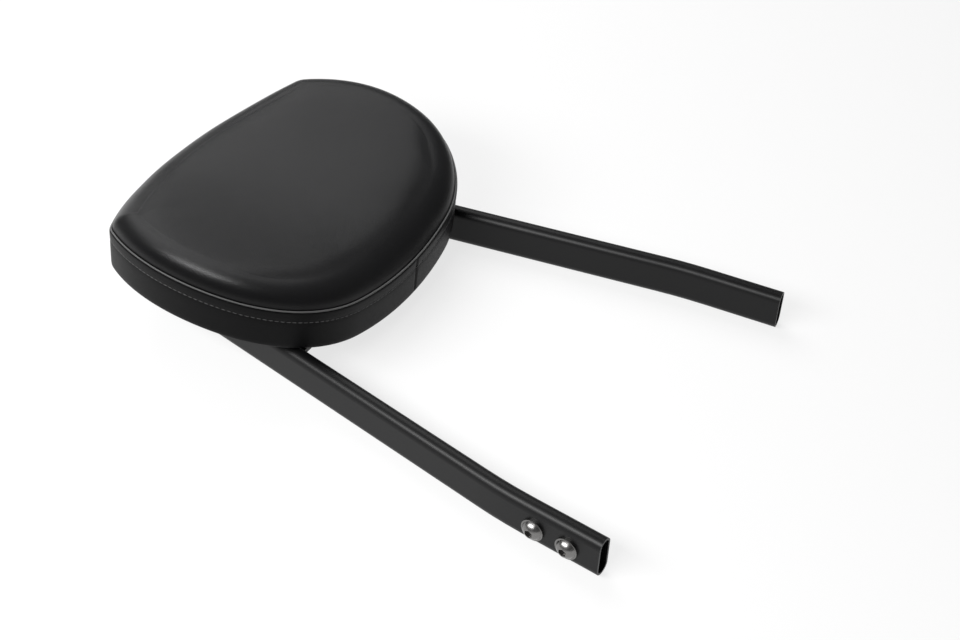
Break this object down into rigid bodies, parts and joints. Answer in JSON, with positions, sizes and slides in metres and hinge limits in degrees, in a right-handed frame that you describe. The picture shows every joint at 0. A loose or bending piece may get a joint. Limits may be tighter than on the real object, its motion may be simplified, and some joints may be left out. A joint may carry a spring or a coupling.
{
  "type": "motorcycle sissy bar",
  "caption": "Motorcycle sissy bar: a bent flat-oval tube hoop with screwed leg ends and a rolled, padded vinyl backrest.",
  "frame": {"origin": "middle of the footprint, on the surface that the tube lies on", "axes": "+X across the legs to the rider's side of one leg, +Y from the open leg ends to the top of the pad, +Z out of the front of the pad"},
  "size_m": [0.2994, 0.4345, 0.0887],
  "materials": {
    "black_powder_coat": "satin",
    "plain_steel": "satin",
    "stainless": "polished",
    "pan_plastic": "matt",
    "insert_brass": "satin",
    "foam": "open cell",
    "black_vinyl": "fine grain, satin"
  },
  "bodies": {
    "root": {"hoop_tube": "black_powder_coat", "lower_strap": "black_powder_coat", "upper_strap": "black_powder_coat", "strap_welds": "black_powder_coat", "leg_bushes": "plain_steel", "leg_screws": "stainless", "leg_washers": "stainless", "pad_pan": "pan_plastic", "pad_inserts": "insert_brass", "pad_foam": "foam", "cover_top_panel": "black_vinyl", "cover_side_band": "black_vinyl", "cover_staples": "plain_steel", "pad_screws": "plain_steel", "pad_washers": "plain_steel"}
  },
  "joints": []
}
